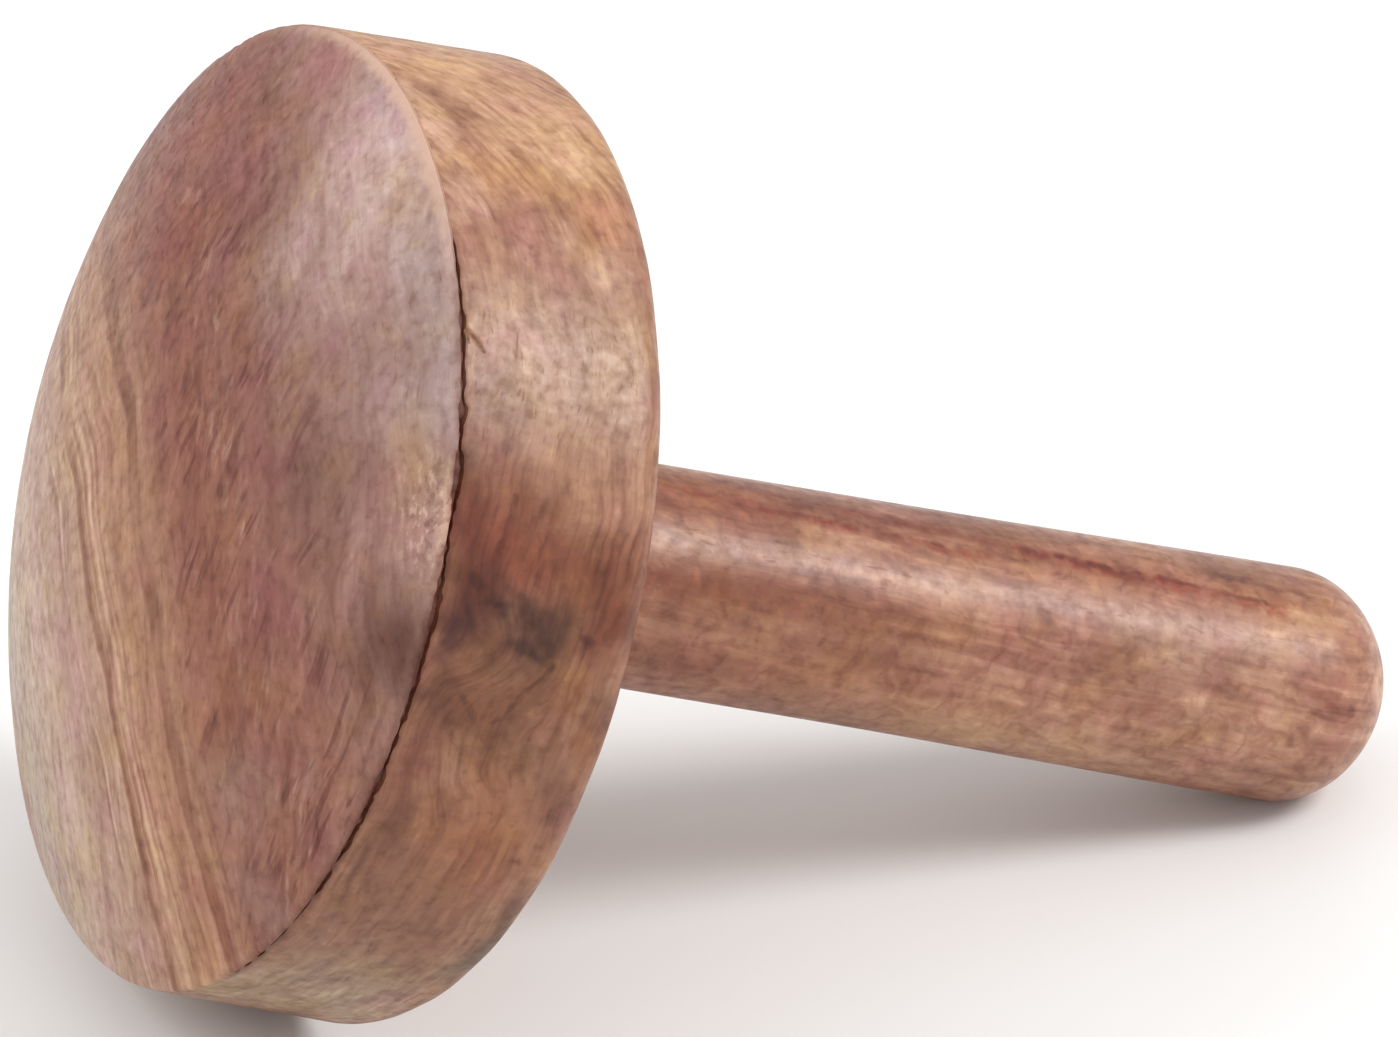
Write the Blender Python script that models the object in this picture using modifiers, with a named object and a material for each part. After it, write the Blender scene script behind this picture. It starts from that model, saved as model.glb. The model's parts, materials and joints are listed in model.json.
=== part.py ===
"""A round-headed wooden mallet, lying on its side as it is put down on a bench.

The head is a disc of two boards glued face to face: a domed face block that strikes, and a flat backing
block behind it. The handle stands square on the middle of the disc's back. Its tenon runs through the
backing block and is spread by a wedge, which the face block hides.

The pieces share one turning axis, and are modelled upright on it: height 0 is the joint between the two
boards, and height grows from there towards the handle's end. The axis is then laid down, so the mallet
rests on the head's back edge and on the handle's end. Local +X is the side that it lies on, and is also
the way the grain of both boards runs, so the wedge lies across it and spreads the tenon along the grain.
Lengths are in metres, and angles in radians.
"""

import math

import bmesh
import bpy
from mathutils import Matrix, Vector

# Head
FACE_RADIUS = 0.0635        # a 5 inch striking face
BACK_RADIUS = 0.0640        # the rim spreads a little towards the back
FACE_HEIGHT = 0.0180        # from the joint to the crown of the dome
BACKING_HEIGHT = 0.0300     # from the joint to the back of the head
FACE_EDGE_LAND = 0.0006     # a narrow straight edge, so the dome doesn't end in a knife edge
BACK_EDGE_ROUND = 0.0040

# Handle
HANDLE_LENGTH = 0.1395      # what stands out of the head
HANDLE_NECK_RADIUS = 0.0146
HOUSING_DEPTH = 0.0020      # the handle's shoulder is let this far into the head's back
HANDLE_END_RADIUS = 0.0156
HANDLE_END_HEIGHT = 0.0140  # the end's rounding, a little flatter than a half ball
TENON_NECK_RADIUS = 0.0100  # at the shoulder
TENON_SPREAD_RADIUS = 0.0108  # at the wedged end

# Saw kerf in the tenon, and its wedge
KERF_DEPTH = 0.0200
KERF_MOUTH_WIDTH = 0.0032
KERF_ROOT_WIDTH = 0.0016
WEDGE_LENGTH = 0.0180
WEDGE_WIDTH = 0.0200
KERF_CUTTER_OVERRUN = 0.0010

# Joints
GLUE_THICKNESS = 0.0003
GLUE_INSET = 0.0002         # the glue stops this far inside the rim
FIT_GAP = 0.0003            # clearance between neighbouring pieces
MEET_HEIGHT = GLUE_THICKNESS / 2 + FIT_GAP  # each board's meeting face, above or below the joint
SEAT_HEIGHT = BACKING_HEIGHT - HOUSING_DEPTH    # the bottom of the housing, where the shoulder sits

# Turning
SEGMENTS = 64
SEGMENT_ANGLE = math.tau / SEGMENTS
FLAT_RATIO = math.cos(SEGMENT_ANGLE / 2)    # a facet's distance from the axis, over its corners'
DOME_STEPS = 9
EDGE_STEPS = 4
HANDLE_END_STEPS = 7
MERGE_DISTANCE = 0.00001
SHARP_ANGLE = math.radians(30)

# Colour, roughness
FACE_WOOD = ((0.36, 0.19, 0.145), 0.45)
GLUE_BROWN = ((0.06, 0.025, 0.018), 0.70)
BACKING_WOOD = ((0.38, 0.21, 0.14), 0.45)
HANDLE_WOOD = ((0.38, 0.19, 0.125), 0.40)
WEDGE_WOOD = ((0.30, 0.15, 0.10), 0.55)

AXIS_NAME = "mallet_axis"


def clear_scene():
    """Remove every object from the scene."""
    for obj in list(bpy.data.objects):
        bpy.data.objects.remove(obj, do_unlink=True)


def make_collection(name):
    """Make a collection in the scene."""
    collection = bpy.data.collections.new(name)
    bpy.context.scene.collection.children.link(collection)
    return collection


def make_material(name, finish):
    """Make a bare wood or glue material from its colour and roughness."""
    colour, roughness = finish
    material = bpy.data.materials.new(name)
    material.use_nodes = True
    shader = material.node_tree.nodes["Principled BSDF"]
    shader.inputs["Base Color"].default_value = (*colour, 1.0)
    shader.inputs["Roughness"].default_value = roughness
    shader.inputs["Metallic"].default_value = 0.0
    material.diffuse_color = (*colour, 1.0)
    return material


def quarter_ellipse(centre, radius, height, steps):
    """Points from the crown (centre radius, full height) out and down to the side, after the first one."""
    centre_radius, centre_height = centre
    angles = [math.pi / 2 * step / steps for step in range(1, steps + 1)]
    return [(centre_radius + radius * math.sin(a), centre_height + height * math.cos(a)) for a in angles]


def face_profile():
    """The face block from its flat meeting face down over the dome, as (radius, height) points."""
    edge_height = -MEET_HEIGHT - FACE_EDGE_LAND
    rise = FACE_HEIGHT + edge_height
    ball_radius = (FACE_RADIUS ** 2 + rise ** 2) / (2 * rise)
    half_angle = math.asin(FACE_RADIUS / ball_radius)
    angles = [half_angle * (1 - step / DOME_STEPS) for step in range(DOME_STEPS + 1)]
    dome = [(ball_radius * math.sin(a), ball_radius * (1 - math.cos(a)) - FACE_HEIGHT) for a in angles]
    return [(0.0, -MEET_HEIGHT), (FACE_RADIUS, -MEET_HEIGHT), *dome]


def glue_profile():
    """The film of glue between the two boards."""
    radius = FACE_RADIUS - GLUE_INSET
    half = GLUE_THICKNESS / 2
    return [(0.0, half), (radius, half), (radius, -half), (0.0, -half)]


def backing_profile():
    """The backing block, a ring around the housing and the mortise, closed back to its first point."""
    edge_centre = (BACK_RADIUS - BACK_EDGE_ROUND, BACKING_HEIGHT - BACK_EDGE_ROUND)
    edge_start = (edge_centre[0], BACKING_HEIGHT)
    housing_radius = HANDLE_NECK_RADIUS + FIT_GAP
    return [
        (housing_radius, BACKING_HEIGHT),
        edge_start,
        *quarter_ellipse(edge_centre, BACK_EDGE_ROUND, BACK_EDGE_ROUND, EDGE_STEPS),
        (FACE_RADIUS, MEET_HEIGHT),
        (TENON_SPREAD_RADIUS + FIT_GAP, MEET_HEIGHT),
        (TENON_NECK_RADIUS + FIT_GAP, SEAT_HEIGHT),
        (housing_radius, SEAT_HEIGHT),
    ]


def handle_profile():
    """The handle from its rounded end down to the shoulder, then the spread tenon."""
    shoulder = SEAT_HEIGHT + FIT_GAP
    end_height = BACKING_HEIGHT + HANDLE_LENGTH
    end_centre = (0.0, end_height - HANDLE_END_HEIGHT)
    return [
        (0.0, end_height),
        *quarter_ellipse(end_centre, HANDLE_END_RADIUS, HANDLE_END_HEIGHT, HANDLE_END_STEPS),
        (HANDLE_NECK_RADIUS, shoulder),
        (TENON_NECK_RADIUS, shoulder),
        (TENON_SPREAD_RADIUS, MEET_HEIGHT),
        (0.0, MEET_HEIGHT),
    ]


def turn(name, profile, material, collection, axis, closed=False):
    """Turn a profile about the axis, with the middle of a facet on each side of local X."""
    outline = bpy.data.meshes.new(name)
    edges = [(i, i + 1) for i in range(len(profile) - 1)]
    if closed:
        edges.append((len(profile) - 1, 0))
    outline.from_pydata([(radius, 0.0, height) for radius, height in profile], edges, [])
    obj = bpy.data.objects.new(name, outline)
    collection.objects.link(obj)
    screw = obj.modifiers.new("turning", "SCREW")
    screw.steps = SEGMENTS
    screw.render_steps = SEGMENTS
    screw.use_merge_vertices = True
    screw.merge_threshold = MERGE_DISTANCE
    bake_modifiers(obj)
    obj.data.shade_smooth()
    obj.data.set_sharp_from_angle(angle=SHARP_ANGLE)
    obj.data.materials.append(material)
    obj.parent = axis
    obj.rotation_euler.z = SEGMENT_ANGLE / 2
    return obj


def bake_modifiers(obj):
    """Replace an object's mesh with the one its modifiers make."""
    evaluated = obj.evaluated_get(bpy.context.evaluated_depsgraph_get())
    outline = obj.data
    obj.data = bpy.data.meshes.new_from_object(evaluated)
    obj.data.name = obj.name
    obj.modifiers.clear()
    bpy.data.meshes.remove(outline)


def tapered_block(name, low, high, width, collection, axis):
    """A block across local Y, tapered in X. low and high are its (height, thickness) at each end."""
    (low_height, low_thickness), (high_height, high_thickness) = low, high
    shape = bmesh.new()
    bmesh.ops.create_cube(shape, size=1.0)
    for vertex in shape.verts:
        at_top = vertex.co.z > 0
        vertex.co.x *= high_thickness if at_top else low_thickness
        vertex.co.y *= width
        vertex.co.z = high_height if at_top else low_height
    mesh = bpy.data.meshes.new(name)
    shape.to_mesh(mesh)
    shape.free()
    obj = bpy.data.objects.new(name, mesh)
    collection.objects.link(obj)
    obj.parent = axis
    return obj


def kerf_width(depth):
    """The kerf's width at a depth below the tenon's spread end."""
    return KERF_MOUTH_WIDTH + (KERF_ROOT_WIDTH - KERF_MOUTH_WIDTH) * depth / KERF_DEPTH


def cut_kerf(handle, cutters, axis):
    """Saw the V-shaped kerf across the tenon."""
    mouth = (MEET_HEIGHT - KERF_CUTTER_OVERRUN, kerf_width(-KERF_CUTTER_OVERRUN))
    root = (MEET_HEIGHT + KERF_DEPTH, KERF_ROOT_WIDTH)
    width = 2 * TENON_SPREAD_RADIUS + 2 * KERF_CUTTER_OVERRUN
    saw = tapered_block("kerf_cutter", mouth, root, width, cutters, axis)
    saw.display_type = "WIRE"
    saw.hide_render = True
    cut = handle.modifiers.new("kerf", "BOOLEAN")
    cut.operation = "DIFFERENCE"
    cut.solver = "EXACT"
    cut.object = saw


def make_wedge(collection, axis):
    """The wedge driven into the kerf before the face block is glued on."""
    mouth = (MEET_HEIGHT, kerf_width(0) - 2 * FIT_GAP)
    tip = (MEET_HEIGHT + WEDGE_LENGTH, kerf_width(WEDGE_LENGTH) - 2 * FIT_GAP)
    wedge = tapered_block("tenon_wedge", mouth, tip, WEDGE_WIDTH, collection, axis)
    wedge.data.materials.append(make_material("wedge_wood", WEDGE_WOOD))


def lay_down(axis, head, handle):
    """Lay the axis down so a line touches head and handle, over the middle of the mallet's box."""
    def drop(head_point, handle_point):
        fall = (head_point[0] - handle_point[0]) * FLAT_RATIO
        return fall / (handle_point[1] - head_point[1])

    dip = math.atan(max(min(drop(h, e) for e in handle) for h in head))
    sides = [Vector((side * radius * FLAT_RATIO, 0.0, height))
             for radius, height in head + handle for side in (1, -1)]
    lean = Matrix.Rotation(math.pi / 2 + dip, 3, "Y")
    laid = [lean @ point for point in sides]
    middle = (min(p.x for p in laid) + max(p.x for p in laid)) / 2
    axis.rotation_euler.y = math.pi / 2 + dip
    axis.location = (-middle, 0.0, -min(p.z for p in laid))


def build():
    """Build the mallet's pieces and lay it down."""
    clear_scene()
    parts = make_collection("wooden_mallet")
    cutters = make_collection("cutters")
    axis = bpy.data.objects.new(AXIS_NAME, None)
    parts.objects.link(axis)

    face = face_profile()
    backing = backing_profile()
    handle = handle_profile()
    turn("face_block", face, make_material("face_wood", FACE_WOOD), parts, axis)
    turn("glue_line", glue_profile(), make_material("dark_glue", GLUE_BROWN), parts, axis)
    turn("backing_block", backing, make_material("backing_wood", BACKING_WOOD), parts, axis, closed=True)
    grip = turn("handle", handle, make_material("handle_wood", HANDLE_WOOD), parts, axis)
    cut_kerf(grip, cutters, axis)
    make_wedge(parts, axis)

    above_head = [(radius, height) for radius, height in handle if height > BACKING_HEIGHT]
    lay_down(axis, face + backing, above_head)


build()
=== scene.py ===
"""The looks of a round-headed wooden mallet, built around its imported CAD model.

Each turned piece is modelled again as a fine mesh in the mallet's own frame: local +Z is the turning axis,
from the joint between the head's two boards (height 0) to the end of the handle, local +X is the side that
the mallet lies on, and local +Y is the world's. A place on the head's rim is given by its turn, in degrees
from the side that faces local -Y, counted towards the top, and by its height along the axis.
Lengths are in metres, except in tables that say millimetres.
"""

import json
import math

import bmesh
import bpy
import numpy as np
from mathutils import Matrix, Quaternion, Vector


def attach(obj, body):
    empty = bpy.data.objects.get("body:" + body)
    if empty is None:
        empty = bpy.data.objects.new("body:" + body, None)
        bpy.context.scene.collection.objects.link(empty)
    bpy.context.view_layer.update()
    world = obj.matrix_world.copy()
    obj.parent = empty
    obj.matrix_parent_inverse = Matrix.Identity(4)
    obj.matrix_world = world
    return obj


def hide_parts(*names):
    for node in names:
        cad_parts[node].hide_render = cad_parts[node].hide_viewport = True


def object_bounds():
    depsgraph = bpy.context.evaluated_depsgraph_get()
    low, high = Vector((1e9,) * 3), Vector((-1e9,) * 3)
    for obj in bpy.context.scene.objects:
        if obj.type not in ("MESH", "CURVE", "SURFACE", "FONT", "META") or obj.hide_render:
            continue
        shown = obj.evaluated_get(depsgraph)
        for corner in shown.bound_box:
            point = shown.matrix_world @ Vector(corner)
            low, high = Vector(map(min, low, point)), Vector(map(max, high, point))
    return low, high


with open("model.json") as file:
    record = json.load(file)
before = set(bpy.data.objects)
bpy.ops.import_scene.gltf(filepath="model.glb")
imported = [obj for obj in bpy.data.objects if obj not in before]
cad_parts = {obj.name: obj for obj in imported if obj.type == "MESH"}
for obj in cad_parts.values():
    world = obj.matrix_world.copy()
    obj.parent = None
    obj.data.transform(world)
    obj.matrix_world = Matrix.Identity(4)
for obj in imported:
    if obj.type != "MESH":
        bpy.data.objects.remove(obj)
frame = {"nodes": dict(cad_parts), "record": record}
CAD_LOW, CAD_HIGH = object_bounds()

MM = 0.001
TINY = 1e-7                 # lengths closer than this are taken as equal
FIT_GAP = 0.3 * MM          # between glued or driven pieces, as in the CAD model

# Fine turning
SEGMENTS = 1280             # around the outermost rings; rings nearer the axis have fewer
CORE_SHARE = 0.45           # a ring closer to the axis than this share of the last change has half as many
SHARP_ANGLE = math.radians(38)

# Camera, seen from the left and above, far away with a long lens
CAMERA_AZIMUTH = math.radians(-20.09)
CAMERA_ELEVATION = math.radians(29.50)
CAMERA_ROLL = math.radians(0.46)
CAMERA_DISTANCE = 3.021
CAMERA_LENS = 595.0         # millimetres, on a sensor 36 mm wide
CAMERA_AIM_RIGHT = -3.31 * MM       # from the middle of the mallet's box, as the camera sees it
CAMERA_AIM_UP = -8.26 * MM


# ---------------- the mallet's own frame

def axis_frame():
    """The turning axis's frame, from the mount on the head's back and the round glue line."""
    mount = next(m for m in frame["record"]["mounts"] if m["name"] == "head_back")
    along = Vector(mount["axis"]).normalized()
    side = Vector((0.0, 1.0, 0.0))
    down = side.cross(along).normalized()
    points = [vertex.co for vertex in frame["nodes"]["glue_line"].data.vertices]
    origin = Vector()
    for direction in (down, along):
        spans = [point.dot(direction) for point in points]
        origin += direction * (min(spans) + max(spans)) / 2
    turn = Matrix((down, side, along)).transposed().to_4x4()
    return Matrix.Translation(origin) @ turn


AXIS = axis_frame()


def local_points(node):
    """A CAD node's vertices in the mallet's own frame."""
    inward = AXIS.inverted()
    return np.array([inward @ vertex.co for vertex in frame["nodes"][node].data.vertices])


def radius_at(node, height, farthest=True):
    """A CAD node's largest or smallest radius among its vertices at a height."""
    points = local_points(node)
    ring = points[np.abs(points[:, 2] - height) < 0.02 * MM]
    radii = np.hypot(ring[:, 0], ring[:, 1])
    return float(radii.max() if farthest else radii.min())


def heights(node):
    """A CAD node's lowest and highest point along the axis."""
    along = local_points(node)[:, 2]
    return float(along.min()), float(along.max())


def widest(node):
    """A CAD node's largest radius, and the height at which it has it."""
    points = local_points(node)
    radii = np.hypot(points[:, 0], points[:, 1])
    return float(radii.max()), float(points[np.isclose(radii, radii.max(), atol=0.01 * MM), 2].mean())


CROWN_HEIGHT, FACE_MEET = heights("face_block")
BACKING_MEET, BACK_HEIGHT = heights("backing_block")
HANDLE_MEET, HANDLE_TOP = heights("handle")
GLUE_LOW, GLUE_HIGH = heights("glue_line")
GLUE_HALF = (GLUE_HIGH - GLUE_LOW) / 2
RIM_RADIUS = radius_at("face_block", FACE_MEET)
HOUSING_RADIUS = radius_at("backing_block", BACK_HEIGHT, farthest=False)
BACK_FLAT_RADIUS = radius_at("backing_block", BACK_HEIGHT)
MORTISE_RADIUS = radius_at("backing_block", BACKING_MEET, farthest=False)
TENON_RADIUS = radius_at("handle", HANDLE_MEET)
BACK_RADIUS, _ = widest("backing_block")
BACK_ROUND = BACK_RADIUS - BACK_FLAT_RADIUS
HANDLE_END_RADIUS, HANDLE_ROUND_HEIGHT = widest("handle")


def shoulder():
    """The height and outer radius of the handle's shoulder, and the tenon's radius there."""
    points = local_points("handle")
    radii = np.hypot(points[:, 0], points[:, 1])
    neck = points[(radii > (TENON_RADIUS + HANDLE_END_RADIUS) / 2) & (points[:, 2] < BACK_HEIGHT)]
    height = float(neck[:, 2].min())
    return height, radius_at("handle", height), radius_at("handle", height, farthest=False)


SHOULDER_HEIGHT, NECK_RADIUS, TENON_NECK_RADIUS = shoulder()

# ---------------- smooth, seeded unevenness

def wobble(angle, lowest, highest, seed):
    """A smooth random wave around the axis, about -1 to 1, with this range of waves to a turn."""
    random = np.random.default_rng(seed)
    total = np.zeros_like(angle)
    for waves in range(lowest, highest + 1):
        total += random.normal() * np.cos(waves * angle + random.uniform(0, math.tau))
    return total / math.sqrt(highest - lowest + 1)


def unevenness(angle, height, size, seed):
    """Smooth random waves over a turned surface, about -1 to 1, whose bumps are about this long."""
    random = np.random.default_rng(seed)
    total = np.zeros(np.broadcast(angle, height).shape)
    count = 24
    most = max(2, int(math.tau * RIM_RADIUS / size / 2))
    for _ in range(count):
        waves = random.integers(1, most)
        pace = random.uniform(-math.pi, math.pi) / size
        total += np.cos(waves * angle + pace * height + random.uniform(0, math.tau))
    return total / math.sqrt(count)


def rise(value, low, high):
    """0 below low, 1 above high, and a smooth step between them. low may be above high."""
    share = np.clip((value - low) / (high - low), 0.0, 1.0)
    return share * share * (3 - 2 * share)


def turn_of(angle):
    """The turn in degrees, -180 to 180, of an angle measured from local +X towards +Y."""
    return (np.degrees(angle) - 90.0) % 360.0 * -1 + 180.0


def between(turn, low, high, soft):
    """1 between two turns, fading to 0 over soft degrees outside them."""
    return rise(turn, low - soft, low) * rise(turn, high + soft, high)


# ---------------- the joint line

# Where the joint between the boards stands open: from turn, to turn, half the gap in millimetres, and how
# broken it is.
OPEN_STRETCHES = (
    (52, 60, 0.2, 0.3),
    (49.8, 51, 0.34, 0),
    (40.5, 49.5, 0.28, 0.3),
    (38.6, 39.7, 0.44, 0),
    (35.5, 38, 0.22, 0.2),
    (29.8, 33.8, 0.48, 0),
    (20.5, 29, 0.22, 0.5),
    (18.2, 19.6, 0.32, 0),
    (13.6, 17.5, 0.46, 0.1),
    (3, 13, 0.34, 0.3),
    (-3, 2.5, 0.25, 0.5),
    (-6.8, -5, 0.44, 0),
    (-11.5, -8.8, 0.36, 0.2),
    (-16, -13.2, 0.34, 0.2),
    (-23, -20.8, 0.28, 0.2),
    (-45, -17, 0.15, 0.9),
    (-100, -60, 0.06, 0.9),
    (-150, -118, 0.18, 0.7),
    (-179, -158, 0.12, 0.8),
    (95, 172, 0.12, 0.9),
)
TIGHT_GAP = 0.012 * MM
GLUED_HALF = 0.16 * MM      # half the space between the boards where they are glued
BACKING_SHARE = 1.8         # the gap opens this much further into the backing block than into the face
GLUE_FILL = 0.75            # the glue's rise towards the backing block, as a share of its gap
GAP_EASE = 3 * MM           # how far up the rim the backing block's edge is drawn back


def joint_gap(angle):
    """Half the width of the gap between the boards at the rim."""
    turn = turn_of(angle)
    broken = np.clip(wobble(angle, 60, 150, 11) * 0.9 + 0.5, 0.0, 1.0)
    fine = 1 + 0.16 * wobble(angle, 60, 200, 12)
    gap = np.zeros_like(angle)
    for low, high, half, breaks in OPEN_STRETCHES:
        gap = np.maximum(gap, half * MM * between(turn, low, high, 1.8) * (1 - breaks * broken))
    return TIGHT_GAP + np.clip(gap * fine, 0.0, None)


def half_space(radius, gap):
    """Half the space between the boards: the gap at the rim, and the glued joint further in."""
    inside = rise(radius, RIM_RADIUS - 0.3 * MM, RIM_RADIUS - 1.6 * MM)
    return gap * (1 - inside) + GLUED_HALF * inside


# Where the face block's edge has lost fibres: from turn, to turn, depth in millimetres.
CHIPPED_STRETCHES = (
    (21, 32, 0.34),
    (17.6, 19.2, 0.45),
    (38.8, 39.6, 0.35),
    (44, 47.5, 0.18),
    (6, 13, 0.2),
    (-9, -3, 0.2),
    (-22, -16, 0.22),
    (-140, -125, 0.3),
    (130, 139, 0.3),
)


def edge_chips(angle):
    """How far the face block's edge is broken back, 0 or more."""
    turn = turn_of(angle)
    ragged = np.clip(wobble(angle, 40, 170, 21) * 0.7 + 0.5, 0.0, 1.3)
    loss = 0.04 * MM * np.clip(wobble(angle, 30, 160, 22), 0.0, None)
    for low, high, depth in CHIPPED_STRETCHES:
        loss = np.maximum(loss, depth * MM * between(turn, low, high, 0.8) * ragged)
    return loss


# ---------------- turned meshes

def arc(centre, radius, height, start, stop, steps):
    """Points on an ellipse's arc, as (radius, height). Angle 0 points outwards and pi / 2 up the axis."""
    angles = np.linspace(start, stop, steps + 1)
    return [(centre[0] + radius * math.cos(a), centre[1] + height * math.sin(a)) for a in angles]


def line(start, stop, steps, crowd=1.0):
    """Points on a straight line, without its last one, crowded towards the stop when crowd is above 1."""
    shares = [1 - (1 - step / steps) ** crowd for step in range(steps)]
    return [(start[0] + (stop[0] - start[0]) * s, start[1] + (stop[1] - start[1]) * s) for s in shares]


def joint_side(inner):
    """A board's flat side from this radius out, without its last point, crowded towards the rim."""
    near_rim = (RIM_RADIUS - 3 * MM, 0.0)
    return line((inner, 0.0), near_rim, 5) + line(near_rim, (RIM_RADIUS, 0.0), 7, crowd=1.4)


def ring_count(radius, outer):
    """How many vertices a ring of this radius has: half as many each time it is well inside."""
    count = SEGMENTS if outer > 2 * HANDLE_END_RADIUS else SEGMENTS // 4
    limit = outer * CORE_SHARE
    while radius < limit and count > 20:
        count //= 2
        limit *= CORE_SHARE
    return count


def join_rings(mesh, one, two):
    """Faces between two rings of vertices, which may have different counts, or a single vertex."""
    if len(one) == 1 or len(two) == 1:
        tip, ring = (one[0], two) if len(one) == 1 else (two[0], one)
        for i in range(len(ring)):
            corners = (tip, ring[i], ring[(i + 1) % len(ring)])
            mesh.faces.new(corners if len(one) == 1 else corners[::-1])
        return
    coarse, fine, swap = (one, two, False) if len(one) <= len(two) else (two, one, True)
    ratio = len(fine) // len(coarse)
    for i in range(len(coarse)):
        after = coarse[(i + 1) % len(coarse)]
        run = [fine[(i * ratio + k) % len(fine)] for k in range(ratio + 1)]
        faces = [(coarse[i], run[0], run[1], after)] if ratio == 1 else \
            [(coarse[i], run[k], run[k + 1]) for k in range(ratio - 1)] + \
            [(coarse[i], run[ratio - 1], run[ratio], after)]
        for corners in faces:
            mesh.faces.new(corners[::-1] if swap else corners)


def turned(name, profile, shape, closed=False):
    """A fine turned mesh from a profile that runs with the wood on its right, seen with +Z up and +X
    to the right. shape(radius, height, angle) returns the worn radius and height of each vertex."""
    outer = max(radius for radius, _ in profile)
    mesh = bmesh.new()
    rings = []
    for radius, height in profile:
        if radius < TINY:
            rings.append([mesh.verts.new((0.0, 0.0, height))])
            continue
        count = ring_count(radius, outer)
        angle = np.arange(count) * math.tau / count
        worn, level = shape(np.full(count, radius), np.full(count, height), angle)
        rings.append([mesh.verts.new(p) for p in zip(worn * np.cos(angle), worn * np.sin(angle), level)])
    for one, two in zip(rings, rings[1:] + rings[:1] if closed else rings[1:]):
        join_rings(mesh, one, two)
    bmesh.ops.recalc_face_normals(mesh, faces=mesh.faces)
    return finished_mesh(name, mesh)


def finished_mesh(name, mesh):
    """Makes a smooth-shaded object of a bmesh in the mallet's own frame, moved to the row frame."""
    data = bpy.data.meshes.new(name)
    mesh.to_mesh(data)
    mesh.free()
    data.transform(AXIS)
    data.shade_smooth()
    data.set_sharp_from_angle(angle=SHARP_ANGLE)
    piece = bpy.data.objects.new(name, data)
    bpy.context.scene.collection.objects.link(piece)
    return piece


# ---------------- face block

FACE_LAND = 0.5 * MM        # the straight edge left between the dome and the joint
LAND_SHARE = 0.85           # the gap takes at most this share of that edge
DOME_RINGS = 50


def face_profile():
    """The face block from its centre under the joint, out over its edge and in over the dome."""
    dome_height = -FACE_LAND - CROWN_HEIGHT
    ball = (RIM_RADIUS ** 2 + dome_height ** 2) / (2 * dome_height)
    half_angle = math.asin(RIM_RADIUS / ball)
    dome = []
    for step in range(DOME_RINGS + 1):
        a = half_angle * (1 - (step / DOME_RINGS) ** 1.6)
        dome.append((ball * math.sin(a), ball * (1 - math.cos(a)) + CROWN_HEIGHT))
    dome[-1] = (0.0, CROWN_HEIGHT)
    return [
        (0.0, 0.0),
        *joint_side(0.25 * RIM_RADIUS),
        *line((RIM_RADIUS, 0.0), (RIM_RADIUS, -FACE_LAND), 5),
        *dome,
    ]


def shape_face(radius, height, angle):
    """The dome's soft waves, the rubbed and chipped edge and the face's side of the joint."""
    turn = turn_of(angle)
    near_edge = rise(radius, RIM_RADIUS - 7 * MM, RIM_RADIUS)
    inner = rise(radius, 3 * MM, 20 * MM)
    level = height - 0.12 * MM * unevenness(angle, radius, 30 * MM, 32) * (1 - near_edge) * inner
    level = level + 0.012 * MM * unevenness(angle, radius, 5 * MM, 33) * inner
    chips = edge_chips(angle)
    gap = np.minimum(joint_gap(angle), LAND_SHARE * FACE_LAND)
    under = height > -0.05 * FACE_LAND
    level = np.where(under, -half_space(radius, gap), level)
    land = ~under & (radius > RIM_RADIUS - TINY)
    level = np.where(land, height * (1 - gap / FACE_LAND) - gap, level)
    # a rubbed, rounded arris between dome and edge, with fibres broken out of it
    rubbed = 0.35 * MM + 0.75 * MM * between(turn, 60.0, 115.0, 9.0) + 0.08 * MM * wobble(angle, 8, 40, 31)
    from_arris = np.hypot(RIM_RADIUS - radius, np.minimum(height, 0.0) + FACE_LAND)
    wear = np.exp(-(from_arris / (rubbed + chips)) ** 2) * ~under
    worn = radius - wear * (0.22 * rubbed + 0.75 * chips)
    level = level + wear * (0.10 * rubbed)
    worn = worn - np.where(under, 0.6 * chips, 0.0) * near_edge
    worn = worn + 0.06 * MM * wobble(angle, 2, 9, 34) * near_edge
    return worn, level


def make_face():
    """The domed front board of the head."""
    piece = turned("head_face", face_profile(), shape_face)
    stand_in(piece, face_wood(), "face_block")


# ---------------- backing block

RIM_RINGS = 44
CRACKS = (
    # start turn and height, end turn and height, half width, depth, in degrees and millimetres
    (50, 0.1, 49.2, 0.8, 0.32, 0.6),
    (49.3, 0.7, 48.3, 2.1, 0.28, 0.6),
    (48.4, 2, 47, 3.1, 0.24, 0.5),
    (49.3, 0.7, 47.8, 0.9, 0.2, 0.35),
    (45.9, 24.3, 41.5, 25.8, 0.16, 0.25),
    (47.6, 23.2, 44.2, 24.2, 0.1, 0.12),
    (27.8, 25.7, 22.1, 26.9, 0.2, 0.22),
    (32.1, 8.8, 27.8, 9, 0.13, 0.16),
    (140, 12, 147, 13.5, 0.15, 0.3),
    (-128, 6, -121, 5, 0.15, 0.3),
)


def cracks():
    """The drying cracks, with their lengths in metres."""
    return [(turn_a, height_a * MM, turn_b, height_b * MM, half * MM, deepest * MM)
            for turn_a, height_a, turn_b, height_b, half, deepest in CRACKS]


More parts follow.
